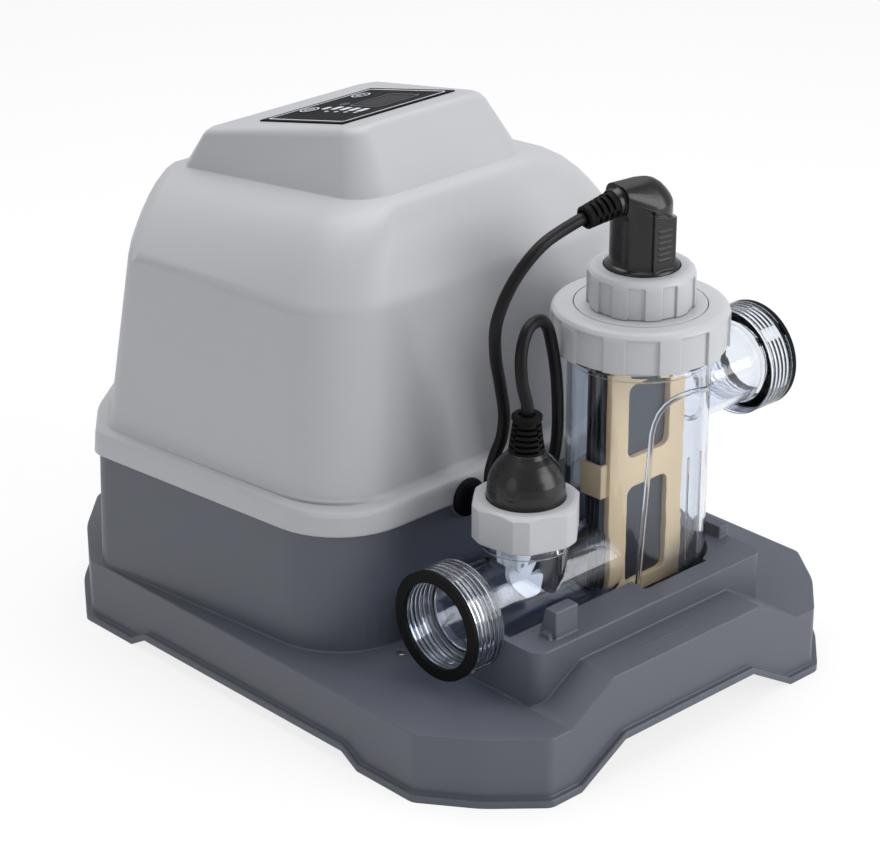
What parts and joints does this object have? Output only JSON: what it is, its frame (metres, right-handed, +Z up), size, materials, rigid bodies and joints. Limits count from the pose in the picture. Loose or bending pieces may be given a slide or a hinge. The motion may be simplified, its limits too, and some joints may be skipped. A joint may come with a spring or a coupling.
{
  "type": "salt chlorine generator",
  "caption": "Salt chlorine generator: domed power unit on a moulded base, clear electrolytic cell with threaded ports, flow sensor and cords.",
  "frame": {"origin": "middle of the base's footprint, at ground level", "axes": "+Z up; -Y towards the side with the cell and the sensor; water runs from -X to +X"},
  "size_m": [0.304, 0.391, 0.298],
  "materials": {
    "slate_plastic": "satin moulded",
    "grey_plastic": "satin moulded",
    "ring_plastic": "satin moulded",
    "clear_plastic": "clear, polished",
    "smoked_plastic": "smoked, polished",
    "black_rubber": "satin",
    "black_plastic": "semi-gloss",
    "overlay_film": "satin film",
    "led_lens": "frosted",
    "board": "solder mask",
    "steel": "brushed",
    "core_iron": "varnished laminations",
    "copper": "enamelled wire",
    "brass": "turned",
    "aluminium": "extruded",
    "capacitor_sleeve": "shrink sleeve",
    "relay_case": "moulded",
    "terminal_green": "moulded",
    "cream_plastic": "satin moulded",
    "titanium": "dark oxide coating",
    "white_plastic": "semi-gloss"
  },
  "bodies": {
    "root": {"base": "slate_plastic", "chassis_plate": "steel", "plate_screws": "steel", "case_seal": "black_rubber", "top_cover": "grey_plastic", "case_screws": "steel", "keypad_overlay": "overlay_film", "display_window": "smoked_plastic", "status_leds": "led_lens", "keypad_board": "board", "display_module": "black_plastic", "transformer_core": "core_iron", "transformer_coil": "copper", "transformer_bracket": "steel", "main_board": "board", "board_standoffs": "brass", "heat_sink": "aluminium", "capacitors": "capacitor_sleeve", "relays": "relay_case", "terminal_block": "terminal_green", "cell_gland": "black_rubber", "sensor_gland": "black_rubber", "mains_gland": "black_rubber", "cell_vessel": "clear_plastic", "inlet_gasket": "black_rubber", "outlet_gasket": "black_rubber", "cell_o_ring": "black_rubber", "cell_head": "ring_plastic", "electrode_frame": "cream_plastic", "electrode_plates": "titanium", "electrode_clip": "cream_plastic", "terminal_pins": "steel", "cell_plug": "black_plastic", "plug_strain_relief": "black_rubber", "plug_screw": "steel", "cell_cord": "black_rubber", "sensor_body": "black_plastic", "sensor_strain_relief": "black_rubber", "sensor_stem": "white_plastic", "sensor_o_ring": "black_rubber", "paddle_pin": "steel", "sensor_cord": "black_rubber"},
    "lock_ring": {"lock_ring": "ring_plastic"},
    "plug_ring": {"plug_ring": "ring_plastic"},
    "sensor_nut": {"sensor_nut": "ring_plastic"},
    "flow_paddle": {"flow_paddle": "white_plastic"},
    "key_power": {"key_power": "overlay_film"},
    "key_mode": {"key_mode": "overlay_film"}
  },
  "joints": [
    {"name": "lock_ring_turn", "type": "hinge", "parent": "root", "child": "lock_ring", "pos_m": [0.0404, -0.114, 0.2], "axis": [0, 0, 1], "continuous": true},
    {"name": "plug_ring_turn", "type": "hinge", "parent": "root", "child": "plug_ring", "pos_m": [0.0404, -0.114, 0.224], "axis": [0, 0, 1], "continuous": true},
    {"name": "sensor_nut_turn", "type": "hinge", "parent": "root", "child": "sensor_nut", "pos_m": [-0.0436, -0.114, 0.117], "axis": [0, 0, 1], "continuous": true},
    {"name": "flow_paddle_swing", "type": "hinge", "parent": "root", "child": "flow_paddle", "pos_m": [-0.0531, -0.114, 0.0935], "axis": [0, -1, 0], "range_deg": [0, 30]},
    {"name": "key_power_press", "type": "slide", "parent": "root", "child": "key_power", "axis": [0, -0.2147, -0.9767], "range_m": [0, 0.0006], "stiffness_N_per_m": 800},
    {"name": "key_mode_press", "type": "slide", "parent": "root", "child": "key_mode", "axis": [0, -0.2147, -0.9767], "range_m": [0, 0.0006], "stiffness_N_per_m": 800}
  ]
}
